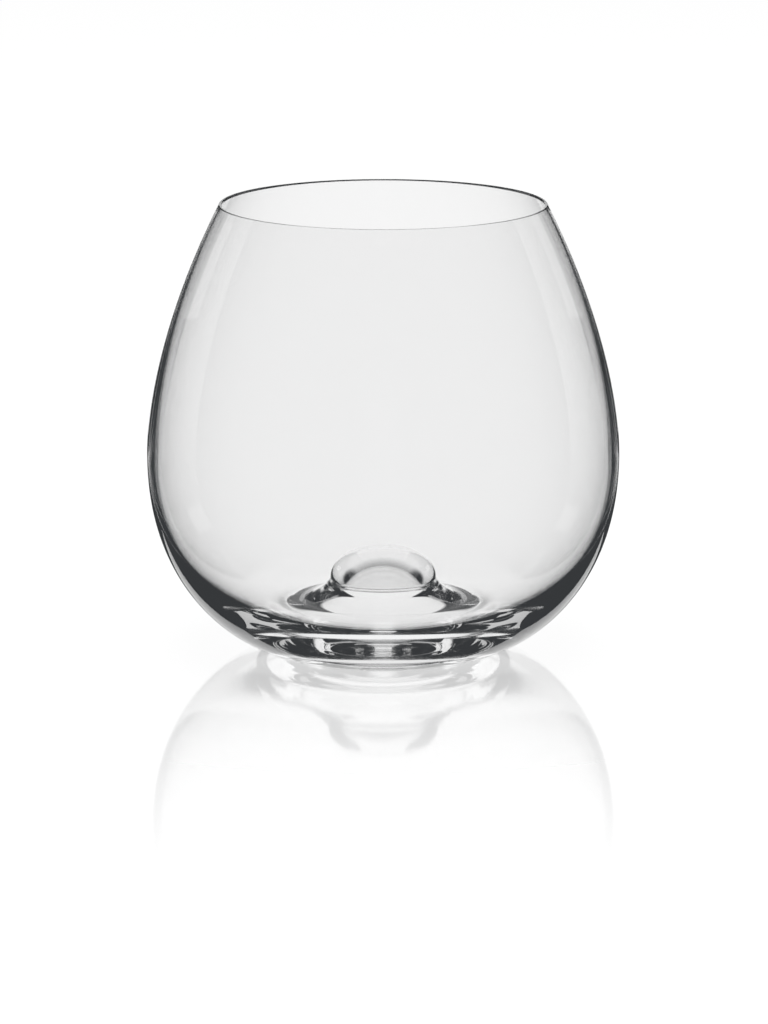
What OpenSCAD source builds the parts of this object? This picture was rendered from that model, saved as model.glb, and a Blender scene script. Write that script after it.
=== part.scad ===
// Double old fashioned glass: a stemless, egg-shaped tumbler, blown in one piece.
// The solid is one half-section, spun about the upright axis. It stands on Z = 0.

/* [Outside] */
// Overall height
height = 89.6; // [84:0.1:100]
// Diameter at the widest point
widest_d = 94; // [86:0.1:104]
// Height of the widest point
widest_z = 39.2; // [35:0.1:46]
// Outer diameter of the mouth
mouth_d = 65; // [58:0.1:74]
// How far the wall leans in at the mouth, in degrees from upright
mouth_lean = 27; // [15:0.5:35]
// Fullness of the wall above the widest point
upper_fullness = 12; // [6:0.1:20]
// Fullness of the wall below the mouth
mouth_fullness = 22; // [12:0.1:28]
// Fullness of the wall below the widest point
lower_fullness = 28.6; // [20:0.1:32]
// Outer diameter of the flat ring that it stands on
foot_d = 39.6; // [34:0.1:46]
// Length of the heel, where the wall curls in to the ring
heel_reach = 7.1; // [4:0.1:14]
// How fast the heel lifts off the table, in degrees
heel_lift = 2; // [0:0.5:8]

/* [Wall] */
// Thickness of the wall at the rounded rim
rim_wall = 0.7; // [0.6:0.05:2]
// Thickness of the wall at the widest point
belly_wall = 1.4; // [1.2:0.05:2.6]
// Fullness of the inside below the widest point
inside_fullness = 24.5; // [18:0.1:26]
// Diameter of the circle where the wall comes down to the floor of the bowl
floor_d = 49.4; // [44:0.1:56]
// Height of that circle, the thickness of glass under it
floor_z = 6.6; // [5.5:0.1:8]
// How steeply the wall comes down to the floor, in degrees
floor_lift = 24; // [10:0.5:30]
// Length over which the wall comes down to the floor
floor_reach = 6.6; // [3:0.1:10]

/* [Dome] */
// Height of the top of the dome inside the bowl
dome_top = 19.9; // [18:0.1:24]
// Diameter of the dome
dome_d = 21.4; // [20.6:0.1:25]
// Height at which the dome is at its full diameter
dome_shoulder = 12.5; // [12:0.1:16]
// Length of the dome's upright side
dome_side = 1.6; // [0.5:0.1:3]
// Diameter of the level circle at the foot of the dome
skirt_d = 36; // [30:0.1:40]
// Height of that circle
skirt_z = 7.5; // [6.5:0.1:9]
// Length of the skirt that the dome rises from
skirt_reach = 4.9; // [2:0.1:6]
// Length over which the floor runs straight at its inner and outer circles
floor_ease = 2.3; // [1:0.1:4]

/* [Punt] */
// Height of the top of the hollow under the base
punt_top = 16.2; // [14:0.1:17.5]
// Diameter of the hollow
punt_d = 18; // [14:0.1:18.6]
// Height at which the hollow is at its full diameter
punt_shoulder = 10.5; // [8:0.1:12]
// Length of the hollow's upright side
punt_side = 4.8; // [1:0.1:6]
// Width of the flat ring that it stands on, around the hollow's mouth
ring_wall = 0.8; // [0.6:0.05:4]
// How steeply the hollow opens at the ring, in degrees
lip_lift = 20.5; // [0:0.5:30]
// Length over which the hollow opens at the ring
lip_reach = 2.3; // [1:0.1:6]

/* [Hidden] */
curve_steps = 36;
$fn = 180;

// Curves of the half-section, as lists of [radius, height]
function cubic_point(p, t) =
    pow(1 - t, 3) * p[0] + 3 * pow(1 - t, 2) * t * p[1] + 3 * (1 - t) * pow(t, 2) * p[2] + pow(t, 3) * p[3];
function cubic(p) = [for (i = [0 : curve_steps]) cubic_point(p, i / curve_steps)];
function oval_arc(centre, reach, from, to) =
    [for (i = [0 : curve_steps]) let (a = from + (to - from) * i / curve_steps)
        centre + [reach.x * cos(a), reach.y * sin(a)]];

// The wall's direction at the mouth, and the direction out of it
rim_r = rim_wall / 2;
mouth_up = [-sin(mouth_lean), cos(mouth_lean)];
mouth_out = [cos(mouth_lean), sin(mouth_lean)];
rim_centre = [mouth_d / 2 - rim_r, height - rim_r];

// Directions in which the curves leave the standing ring and the floor
heel_out = [cos(heel_lift), sin(heel_lift)];
lip_in = [-cos(lip_lift), sin(lip_lift)];
wall_out = [cos(floor_lift), sin(floor_lift)];

// Points where one curve hands over to the next
punt_edge = [punt_d / 2, punt_shoulder];
lip_edge = [foot_d / 2 - ring_wall, 0];
foot_edge = [foot_d / 2, 0];
belly_outside = [widest_d / 2, widest_z];
mouth_outside = rim_centre + rim_r * mouth_out;
mouth_inside = rim_centre - rim_r * mouth_out;
belly_inside = belly_outside - [belly_wall, 0];
floor_edge = [floor_d / 2, floor_z];
skirt_edge = [skirt_d / 2, skirt_z];
dome_edge = [dome_d / 2, dome_shoulder];

function punt_line() = concat(
    oval_arc([0, punt_shoulder], [punt_d / 2, punt_top - punt_shoulder], 90, 0),
    cubic([punt_edge, punt_edge - [0, punt_side], lip_edge + lip_reach * lip_in, lip_edge]));

function outside_line() = concat(
    cubic([foot_edge, foot_edge + heel_reach * heel_out, belly_outside - [0, lower_fullness], belly_outside]),
    cubic([belly_outside, belly_outside + [0, upper_fullness],
        mouth_outside - mouth_fullness * mouth_up, mouth_outside]));

function rim_line() = oval_arc(rim_centre, [rim_r, rim_r], mouth_lean, mouth_lean + 180);

function inside_line() = concat(
    cubic([mouth_inside, mouth_inside - mouth_fullness * mouth_up,
        belly_inside + [0, upper_fullness], belly_inside]),
    cubic([belly_inside, belly_inside - [0, inside_fullness],
        floor_edge + floor_reach * wall_out, floor_edge]));

function dome_line() = concat(
    cubic([floor_edge, floor_edge - floor_ease * wall_out, skirt_edge + [floor_ease, 0], skirt_edge]),
    cubic([skirt_edge, skirt_edge - [skirt_reach, 0], dome_edge - [0, dome_side], dome_edge]),
    oval_arc([0, dome_shoulder], [dome_d / 2, dome_top - dome_shoulder], 0, 90));

module tumbler() {
    color("azure")
        rotate_extrude()
            polygon(concat(punt_line(), outside_line(), rim_line(), inside_line(), dome_line()));
}

tumbler();
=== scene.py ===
"""The look of a double old fashioned glass: clear blown glass on a white table, in a bright-field studio.

The glass is spun from the part's half-section in fine steps, so what shows through it bends smoothly.
The backdrop, ceiling, cards and side panels belong to the camera, so the glass looks alike from every side.
"""
import math

import bpy
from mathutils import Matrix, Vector


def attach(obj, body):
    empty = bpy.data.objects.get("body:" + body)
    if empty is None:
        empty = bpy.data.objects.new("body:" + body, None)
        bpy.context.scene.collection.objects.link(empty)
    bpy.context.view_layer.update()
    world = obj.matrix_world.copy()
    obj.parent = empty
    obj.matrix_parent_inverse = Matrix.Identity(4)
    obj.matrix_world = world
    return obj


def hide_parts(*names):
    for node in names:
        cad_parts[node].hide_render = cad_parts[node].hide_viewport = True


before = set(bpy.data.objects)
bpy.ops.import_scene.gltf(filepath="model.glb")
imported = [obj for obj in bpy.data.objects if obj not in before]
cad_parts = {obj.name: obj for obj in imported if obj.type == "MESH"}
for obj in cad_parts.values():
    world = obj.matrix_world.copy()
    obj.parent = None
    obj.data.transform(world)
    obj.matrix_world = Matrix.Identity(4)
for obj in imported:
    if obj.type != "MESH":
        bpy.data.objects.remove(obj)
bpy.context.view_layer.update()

# Sizes of the glass in millimetres, and angles in degrees
# The base's curves are fitted further than the part's own, and lie within 0.5 mm of them
MM = 0.001
HEIGHT = 89.6
WIDEST_D = 94.0
WIDEST_Z = 39.2
MOUTH_D = 65.0
MOUTH_LEAN = 27.0
UPPER_FULLNESS = 12.0
MOUTH_FULLNESS = 22.0
LOWER_FULLNESS = 28.6
FOOT_D = 39.6
HEEL_REACH = 7.8
HEEL_LIFT = 0.8
RIM_WALL = 0.7
BELLY_WALL = 1.4
INSIDE_FULLNESS = 24.8
FLOOR_D = 48.2
FLOOR_Z = 6.5
FLOOR_LIFT = 14.5
FLOOR_REACH = 5.9
DOME_TOP = 19.9
DOME_D = 21.4
DOME_SHOULDER = 12.6
DOME_SIDE = 1.55
SKIRT_D = 36.7
SKIRT_Z = 7.0
SKIRT_REACH = 4.1
FLOOR_EASE = 2.0
PUNT_TOP = 15.9
PUNT_D = 18.8
PUNT_SHOULDER = 8.6
PUNT_SIDE = 2.7
RING_WALL = 0.5
LIP_LIFT = 19.5
LIP_REACH = 2.4

# Fineness of the spun mesh
CURVE_STEPS = 48
SPIN_STEPS = 256
SAME_PLACE = 1e-6

# The clear glass, the waves in its wall, and the scuffs on its standing ring, in metres
GLASS_IOR = 1.52
WAVE_SCALE = 60.0
WAVE_DETAIL = 1.0
WAVE_STRENGTH = 0.02
WAVE_DEPTH = 0.0005
SCUFF_SCALE = 900.0
SCUFF_DETAIL = 4.0
SCUFF_HEIGHT = 0.0006
SCUFF_ROUGHNESS = 0.35

# The camera, fitted to the photograph's outline
IMAGE_LONG_SIDE = 1024
FOCAL_PIXELS = 4493.25
SENSOR = 36.0
CAMERA_PLACE = Vector((0.00016, -0.876, 0.2258))
CAMERA_AIM = Vector((0.00016, 0.0, 0.0273))

# The studio, in metres in the camera's frame, with brightness 1 as white
DARK = (0.0378, 0.0402, 0.0430, 1.0)
WHITE = (1.0, 1.0, 1.0, 1.0)
BACKDROP_DEPTH = 2.2
BACKDROP_HALF = 0.45
BACKDROP_SOFT_SHARE = 0.2
BACKDROP_BOTTOM = -1.15
BACKDROP_TOP = 2.4
BACKDROP_FADE_FROM = 0.7
BACKDROP_TOP_BRIGHT = 0.5
CEILING_UP = 0.935
CEILING_NEAR = 1.15
CEILING_FAR = 2.2
CEILING_HALF = 0.5
CEILING_SOFT_SHARE = 0.2
CEILING_NEAR_BRIGHT = 0.3
CEILING_FAR_BRIGHT = 1.0
HIGH_CARD_HALF = 0.3
HIGH_CARD_BOTTOM = 0.05
HIGH_CARD_TOP = 2.0
LOW_CARD_HALF = 0.6
LOW_CARD_BOTTOM = -0.8
LOW_CARD_TOP = -0.16
FLAG_SIDE = 0.15
FLAG_NEAR = 1.1
FLAG_FAR = 1.3
FLAG_BOTTOM = -0.09
FLAG_TOP = 0.2
SPARK_SIDE = 0.5
SPARK_NEAR = 1.2
SPARK_FAR = 1.5
SPARK_BOTTOM = 0.16
SPARK_TOP = 0.3
SPARK_BRIGHT = 0.65
STRIP_SIDE = 0.4
STRIP_NEAR = 0.95
STRIP_FAR = 1.25
STRIP_BOTTOM = -0.2
STRIP_FULL_FROM = 0.1
STRIP_FULL_TO = 0.2
STRIP_TOP = 0.5
STRIP_BRIGHT = 0.8

# The table top, its polish, which fades with distance from the glass, and the lamp over it
TABLE_HALF = 6.0
TABLE_GLOW = 0.96
TABLE_PALENESS = 0.1
TABLE_POLISH = 1.6
POLISH_IOR = 1.45
POLISH_ROUGHNESS = 0.06
POLISH_FROM = 0.03
POLISH_TO = 0.19
LAMP_HEIGHT = 1.2
LAMP_SIZE = 1.0
LAMP_POWER = 16.0

LIGHT_BOUNCES = 128


def cubic(start, leave, arrive, end):
    """Points of a cubic curve from start to end, pulled towards leave and arrive on its way."""
    points = []
    for step in range(CURVE_STEPS + 1):
        t = step / CURVE_STEPS
        s = 1 - t
        points.append(s**3 * start + 3 * s * s * t * leave + 3 * s * t * t * arrive + t**3 * end)
    return points


def oval_arc(centre, reach, first, last):
    """Points of an oval about centre, from the angle first to the angle last, in degrees."""
    points = []
    for step in range(CURVE_STEPS + 1):
        a = math.radians(first + (last - first) * step / CURVE_STEPS)
        points.append(centre + Vector((reach[0] * math.cos(a), reach[1] * math.sin(a))))
    return points


def direction(degrees):
    """The way out from the axis, lifted by degrees."""
    a = math.radians(degrees)
    return Vector((math.cos(a), math.sin(a)))


def out(length):
    return Vector((length, 0))


def up(length):
    return Vector((0, length))


def punt_curves():
    """The hollow under the base: its cap, and the flare from its side to the standing ring."""
    side = Vector((PUNT_D / 2, PUNT_SHOULDER))
    lip = out(FOOT_D / 2 - RING_WALL)
    return [
        oval_arc(up(PUNT_SHOULDER), (PUNT_D / 2, PUNT_TOP - PUNT_SHOULDER), 90, 0),
        cubic(side, side - up(PUNT_SIDE), lip + LIP_REACH * direction(180 - LIP_LIFT), lip),
    ]


def wall_curves():
    """The outside up to the mouth, the rounded rim, and the inside down to the floor."""
    rim_r = RIM_WALL / 2
    mouth_out = direction(MOUTH_LEAN)
    mouth_pull = MOUTH_FULLNESS * direction(MOUTH_LEAN + 90)
    rim_centre = Vector((MOUTH_D / 2 - rim_r, HEIGHT - rim_r))
    mouth_outside = rim_centre + rim_r * mouth_out
    mouth_inside = rim_centre - rim_r * mouth_out
    foot = out(FOOT_D / 2)
    heel = foot + HEEL_REACH * direction(HEEL_LIFT)
    belly_outside = Vector((WIDEST_D / 2, WIDEST_Z))
    belly_inside = belly_outside - out(BELLY_WALL)
    floor_edge = Vector((FLOOR_D / 2, FLOOR_Z))
    wall_foot = floor_edge + FLOOR_REACH * direction(FLOOR_LIFT)
    return [
        cubic(foot, heel, belly_outside - up(LOWER_FULLNESS), belly_outside),
        cubic(belly_outside, belly_outside + up(UPPER_FULLNESS), mouth_outside - mouth_pull, mouth_outside),
        oval_arc(rim_centre, (rim_r, rim_r), MOUTH_LEAN, MOUTH_LEAN + 180),
        cubic(mouth_inside, mouth_inside - mouth_pull, belly_inside + up(UPPER_FULLNESS), belly_inside),
        cubic(belly_inside, belly_inside - up(INSIDE_FULLNESS), wall_foot, floor_edge),
    ]


def dome_curves():
    """The floor of the bowl, the skirt that climbs to the dome's side, and the dome over the hollow."""
    floor_edge = Vector((FLOOR_D / 2, FLOOR_Z))
    floor_leave = floor_edge - FLOOR_EASE * direction(FLOOR_LIFT)
    skirt = Vector((SKIRT_D / 2, SKIRT_Z))
    side = Vector((DOME_D / 2, DOME_SHOULDER))
    return [
        cubic(floor_edge, floor_leave, skirt + out(FLOOR_EASE), skirt),
        cubic(skirt, skirt - out(SKIRT_REACH), side - up(DOME_SIDE), side),
        oval_arc(up(DOME_SHOULDER), (DOME_D / 2, DOME_TOP - DOME_SHOULDER), 0, 90),
    ]


def half_section():
    """The half-section in millimetres: radius and height, from the hollow's top to the dome's."""
    section = [up(PUNT_TOP)]
    for curve in punt_curves() + wall_curves() + dome_curves():
        section += [point for point in curve if (point - section[-1]).length > SAME_PLACE]
    return section


def spin(name, section):
    """A closed mesh: the section, which starts and ends on the axis, spun about Z."""
    inner_points = section[1:-1]
    verts = [(0, 0, section[0].y * MM)]
    for radius, height in inner_points:
        for step in range(SPIN_STEPS):
            a = 2 * math.pi * step / SPIN_STEPS
            verts.append((radius * math.cos(a) * MM, radius * math.sin(a) * MM, height * MM))
    verts.append((0, 0, section[-1].y * MM))
    last = len(verts) - 1
    last_ring = last - SPIN_STEPS
    faces = []
    for step in range(SPIN_STEPS):
        beside = (step + 1) % SPIN_STEPS
        faces.append((0, 1 + beside, 1 + step))
        for ring in range(len(inner_points) - 1):
            here = 1 + ring * SPIN_STEPS
            above = here + SPIN_STEPS
            faces.append((here + step, here + beside, above + beside, above + step))
        faces.append((last_ring + step, last_ring + beside, last))
    mesh = bpy.data.meshes.new(name)
    mesh.from_pydata(verts, [], faces)
    mesh.shade_smooth()
    return add_object(name, mesh)


def add_object(name, data):
    made = bpy.data.objects.new(name, data)
    bpy.context.scene.collection.objects.link(made)
    return made


def grey(brightness):
    return (brightness, brightness, brightness, 1.0)


def new_material(name):
    """An empty node material, and its tree."""
    material = bpy.data.materials.new(name)
    material.use_nodes = True
    material.node_tree.nodes.clear()
    return material, material.node_tree


def set_inputs(tree, sockets, values):
    """Sets each socket: a number or colour is its value, another socket is linked to it."""
    for socket, value in zip(sockets, values):
        if isinstance(value, bpy.types.NodeSocket):
            tree.links.new(value, socket)
        else:
            socket.default_value = value


def add_node(tree, kind, **inputs):
    """A node of that kind, with the named inputs set."""
    node = tree.nodes.new(kind)
    sockets = [node.inputs[name.replace("_", " ")] for name in inputs]
    set_inputs(tree, sockets, inputs.values())
    return node


def math_node(tree, operation, *values):
    node = tree.nodes.new("ShaderNodeMath")
    node.operation = operation
    set_inputs(tree, node.inputs, values)
    return node.outputs[0]


def own_place(tree):
    """The place of each point of a surface, in its object's own frame."""
    return add_node(tree, "ShaderNodeTexCoord").outputs["Object"]


def along_axes(tree, place):
    """The X, Y and Z of a place."""
    return add_node(tree, "ShaderNodeSeparateXYZ", Vector=place).outputs


def smooth_step(tree, value, low, high, at_low, at_high):
    """A smooth change from at_low to at_high while value goes from low to high."""
    node = add_node(
        tree, "ShaderNodeMapRange", Value=value, From_Min=low, From_Max=high, To_Min=at_low, To_Max=at_high)
    node.interpolation_type = "SMOOTHSTEP"
    return node.outputs["Result"]


def blend_colours(tree, share, first, second):
    """The first colour where share is 0, the second where it is 1."""
    node = tree.nodes.new("ShaderNodeMix")
    node.data_type = "RGBA"
    tree.links.new(share, node.inputs["Factor"])
    colours = [socket for socket in node.inputs if socket.type == "RGBA"]
    set_inputs(tree, colours, [first, second])
    return next(socket for socket in node.outputs if socket.type == "RGBA")


def two_shaders(tree, kind, first, second):
    """An Add or Mix Shader node over two shaders."""
    node = tree.nodes.new(kind)
    shaders = [socket for socket in node.inputs if socket.type == "SHADER"]
    set_inputs(tree, shaders, [first.outputs[0], second.outputs[0]])
    return node


def end_with_glow(tree, colour):
    """Makes the surface glow in that colour, at its plain brightness."""
    glow = add_node(tree, "ShaderNodeEmission", Color=colour)
    add_node(tree, "ShaderNodeOutputMaterial", Surface=glow.outputs[0])


def glass_material():
    """Clear glass with the faint waves of a blown wall and a standing ring scuffed by use."""
    material, tree = new_material("clear_glass")
    place = own_place(tree)
    height = along_axes(tree, place)["Z"]
    waves = add_node(tree, "ShaderNodeTexNoise", Vector=place, Scale=WAVE_SCALE, Detail=WAVE_DETAIL)
    bump = add_node(
        tree, "ShaderNodeBump", Strength=WAVE_STRENGTH, Distance=WAVE_DEPTH, Height=waves.outputs["Fac"])
    scuffs = add_node(tree, "ShaderNodeTexNoise", Vector=place, Scale=SCUFF_SCALE, Detail=SCUFF_DETAIL)
    near_table = smooth_step(tree, height, 0.0, SCUFF_HEIGHT, 1.0, 0.0)
    scuffed = math_node(tree, "MULTIPLY", near_table, scuffs.outputs["Fac"])
    roughness = math_node(tree, "MULTIPLY", scuffed, SCUFF_ROUGHNESS)
    shader = add_node(
        tree, "ShaderNodeBsdfPrincipled", Base_Color=WHITE, Roughness=roughness, IOR=GLASS_IOR,
        Transmission_Weight=1.0, Normal=bump.outputs["Normal"])
    add_node(tree, "ShaderNodeOutputMaterial", Surface=shader.outputs["BSDF"])
    return material


def table_material():
    """A white table top that takes a soft shadow, polished where the glass stands."""
    material, tree = new_material("table_top")
    distance = add_node(tree, "ShaderNodeVectorMath", Vector=own_place(tree))
    distance.operation = "LENGTH"
    polish = smooth_step(tree, distance.outputs["Value"], POLISH_FROM, POLISH_TO, TABLE_POLISH, 0.0)
    fresnel = add_node(tree, "ShaderNodeFresnel", IOR=POLISH_IOR)
    glow = add_node(tree, "ShaderNodeEmission", Strength=TABLE_GLOW)
    pale = add_node(tree, "ShaderNodeBsdfDiffuse", Color=grey(TABLE_PALENESS))
    white = two_shaders(tree, "ShaderNodeAddShader", glow, pale)
    gloss = add_node(tree, "ShaderNodeBsdfGlossy", Color=WHITE, Roughness=POLISH_ROUGHNESS)
    top = two_shaders(tree, "ShaderNodeMixShader", white, gloss)
    tree.links.new(math_node(tree, "MULTIPLY", fresnel.outputs[0], polish), top.inputs["Fac"])
    add_node(tree, "ShaderNodeOutputMaterial", Surface=top.outputs[0])
    return material


def sheet_material(name, half, soft_share, axis, ends, brights):
    """A sheet that fades to dark at its sides, and from one brightness to another along an axis."""
    material, tree = new_material(name)
    along = along_axes(tree, own_place(tree))
    from_middle = math_node(tree, "ABSOLUTE", along["X"])
    inside = smooth_step(tree, from_middle, half * (1 - soft_share), half, 1.0, 0.0)
    bright = smooth_step(tree, along[axis], *ends, *brights)
    share = math_node(tree, "MULTIPLY", inside, bright)
    end_with_glow(tree, blend_colours(tree, share, DARK, WHITE))
    return material


def strip_material():
    """A light strip that fades out towards its lower and upper ends."""
    material, tree = new_material("strip")
    height = along_axes(tree, own_place(tree))["Y"]
    risen = smooth_step(tree, height, STRIP_BOTTOM, STRIP_FULL_FROM, 0.0, 1.0)
    kept = smooth_step(tree, height, STRIP_FULL_TO, STRIP_TOP, 1.0, 0.0)
    share = math_node(tree, "MULTIPLY", risen, kept)
    end_with_glow(tree, blend_colours(tree, share, DARK, grey(STRIP_BRIGHT)))
    return material


def plain_material(name, colour):
    """A sheet of one even brightness."""
    material, tree = new_material(name)
    end_with_glow(tree, colour)
    return material


def panel(name, corners, material, parent=None):
    """A flat four-cornered piece of the studio, in its parent's frame if it has one."""
    mesh = bpy.data.meshes.new(name)
    mesh.from_pydata(corners, [], [(0, 1, 2, 3)])
    mesh.materials.append(material)
    made = add_object(name, mesh)
    made.parent = parent
    return made


def make_glass():
    glass = spin("clear_tumbler", half_section())
    glass.data.materials.append(glass_material())
    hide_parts("tumbler")
    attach(glass, "root")


def make_camera():
    lens = bpy.data.cameras.new("camera")
    lens.sensor_width = SENSOR
    lens.lens = FOCAL_PIXELS / IMAGE_LONG_SIDE * SENSOR
    camera = add_object("camera", lens)
    camera.location = CAMERA_PLACE
    camera.rotation_euler = (CAMERA_AIM - CAMERA_PLACE).to_track_quat("-Z", "Y").to_euler()
    bpy.context.scene.camera = camera
    return camera


def make_table():
    """The table that the camera sees. What shows through the glass is the backdrop, on down behind it."""
    t = TABLE_HALF
    table = panel("table_top", [(-t, -t, 0), (t, -t, 0), (t, t, 0), (-t, t, 0)], table_material())
    table.visible_glossy = False
    table.visible_transmission = False


def make_lamp():
    """A soft lamp over the table, which gives the glass its shadow."""
    lamp = bpy.data.lights.new("table_lamp", "AREA")
    lamp.energy = LAMP_POWER
    lamp.shape = "DISK"
    lamp.size = LAMP_SIZE
    hung = add_object("table_lamp", lamp)
    hung.location = (0, 0, LAMP_HEIGHT)
    hung.visible_camera = False
    hung.visible_glossy = False
    hung.visible_transmission = False


def studio_panel(name, corners, material, camera, camera_sees=False, glossy=False, transmission=True):
    """A panel that stays with the camera, lights nothing, and shows only to the named kinds of ray."""
    made = panel(name, corners, material, camera)
    made.visible_camera = camera_sees
    made.visible_glossy = glossy
    made.visible_transmission = transmission
    made.visible_diffuse = False
    made.visible_shadow = False


def facing_corners(half, low, high, depth):
    """Corners of a panel that faces the camera."""
    return [(-half, low, -depth), (half, low, -depth), (half, high, -depth), (-half, high, -depth)]


def side_corners(x, low, high, near, far):
    """Corners of an upright panel beside the camera's view, which runs from near to far."""
    return [(x, low, -near), (x, low, -far), (x, high, -far), (x, high, -near)]


def make_backdrop(camera):
    """A white sweep behind the glass and on down behind the table, dimmer towards its top."""
    corners = facing_corners(BACKDROP_HALF, BACKDROP_BOTTOM, BACKDROP_TOP, BACKDROP_DEPTH)
    ends = (BACKDROP_FADE_FROM, BACKDROP_TOP)
    brights = (1.0, BACKDROP_TOP_BRIGHT)
    material = sheet_material("backdrop", BACKDROP_HALF, BACKDROP_SOFT_SHARE, "Y", ends, brights)
    studio_panel("backdrop", corners, material, camera, camera_sees=True)


def make_ceiling(camera):
    """A level sheet behind the glass, bright at its far end, which draws the soft arc in the dome."""
    w, y = CEILING_HALF, CEILING_UP
    near, far = -CEILING_NEAR, -CEILING_FAR
    corners = [(-w, y, near), (w, y, near), (w, y, far), (-w, y, far)]
    brights = (CEILING_NEAR_BRIGHT, CEILING_FAR_BRIGHT)
    material = sheet_material("ceiling", w, CEILING_SOFT_SHARE, "Z", (near, far), brights)
    studio_panel("ceiling", corners, material, camera)


def make_cards(camera):
    """Two white cards at the backdrop: one high, for the table's polish, and one low, for the lower wall."""
    white_card = plain_material("card", WHITE)
    high = facing_corners(HIGH_CARD_HALF, HIGH_CARD_BOTTOM, HIGH_CARD_TOP, BACKDROP_DEPTH)
    low = facing_corners(LOW_CARD_HALF, LOW_CARD_BOTTOM, LOW_CARD_TOP, BACKDROP_DEPTH)
    for name, corners in (("high_card", high), ("low_card", low)):
        studio_panel(name, corners, white_card, camera, glossy=True, transmission=False)


def make_sides(camera):
    """On each side a dark flag and a pale spark, seen through the glass, and a light strip, seen in it."""
    flag_cloth = plain_material("flag", DARK)
    strip_cloth = strip_material()
    spark_card = plain_material("spark", grey(SPARK_BRIGHT))
    for side, name in ((-1, "left"), (1, "right")):
        flag = side_corners(side * FLAG_SIDE, FLAG_BOTTOM, FLAG_TOP, FLAG_NEAR, FLAG_FAR)
        studio_panel(name + "_flag", flag, flag_cloth, camera)
        spark = side_corners(side * SPARK_SIDE, SPARK_BOTTOM, SPARK_TOP, SPARK_NEAR, SPARK_FAR)
        studio_panel(name + "_spark", spark, spark_card, camera)
        strip = side_corners(side * STRIP_SIDE, STRIP_BOTTOM, STRIP_TOP, STRIP_NEAR, STRIP_FAR)
        studio_panel(name + "_strip", strip, strip_cloth, camera, glossy=True, transmission=False)


def make_world():
    """A dark room."""
    world = bpy.data.worlds.new("studio")
    bpy.context.scene.world = world
    world.use_nodes = True
    tree = world.node_tree
    tree.nodes.clear()
    room = add_node(tree, "ShaderNodeBackground", Color=DARK)
    add_node(tree, "ShaderNodeOutputWorld", Surface=room.outputs[0])


def set_render():
    """Enough bounces for light to pass every wall of the glass, and a clean picture."""
    scene = bpy.context.scene
    scene.view_settings.view_transform = "Standard"
    scene.cycles.max_bounces = LIGHT_BOUNCES
    scene.cycles.transmission_bounces = LIGHT_BOUNCES
    scene.cycles.glossy_bounces = LIGHT_BOUNCES
    scene.cycles.use_denoising = True


make_glass()
camera = make_camera()
make_table()
make_lamp()
make_backdrop(camera)
make_ceiling(camera)
make_cards(camera)
make_sides(camera)
make_world()
set_render()
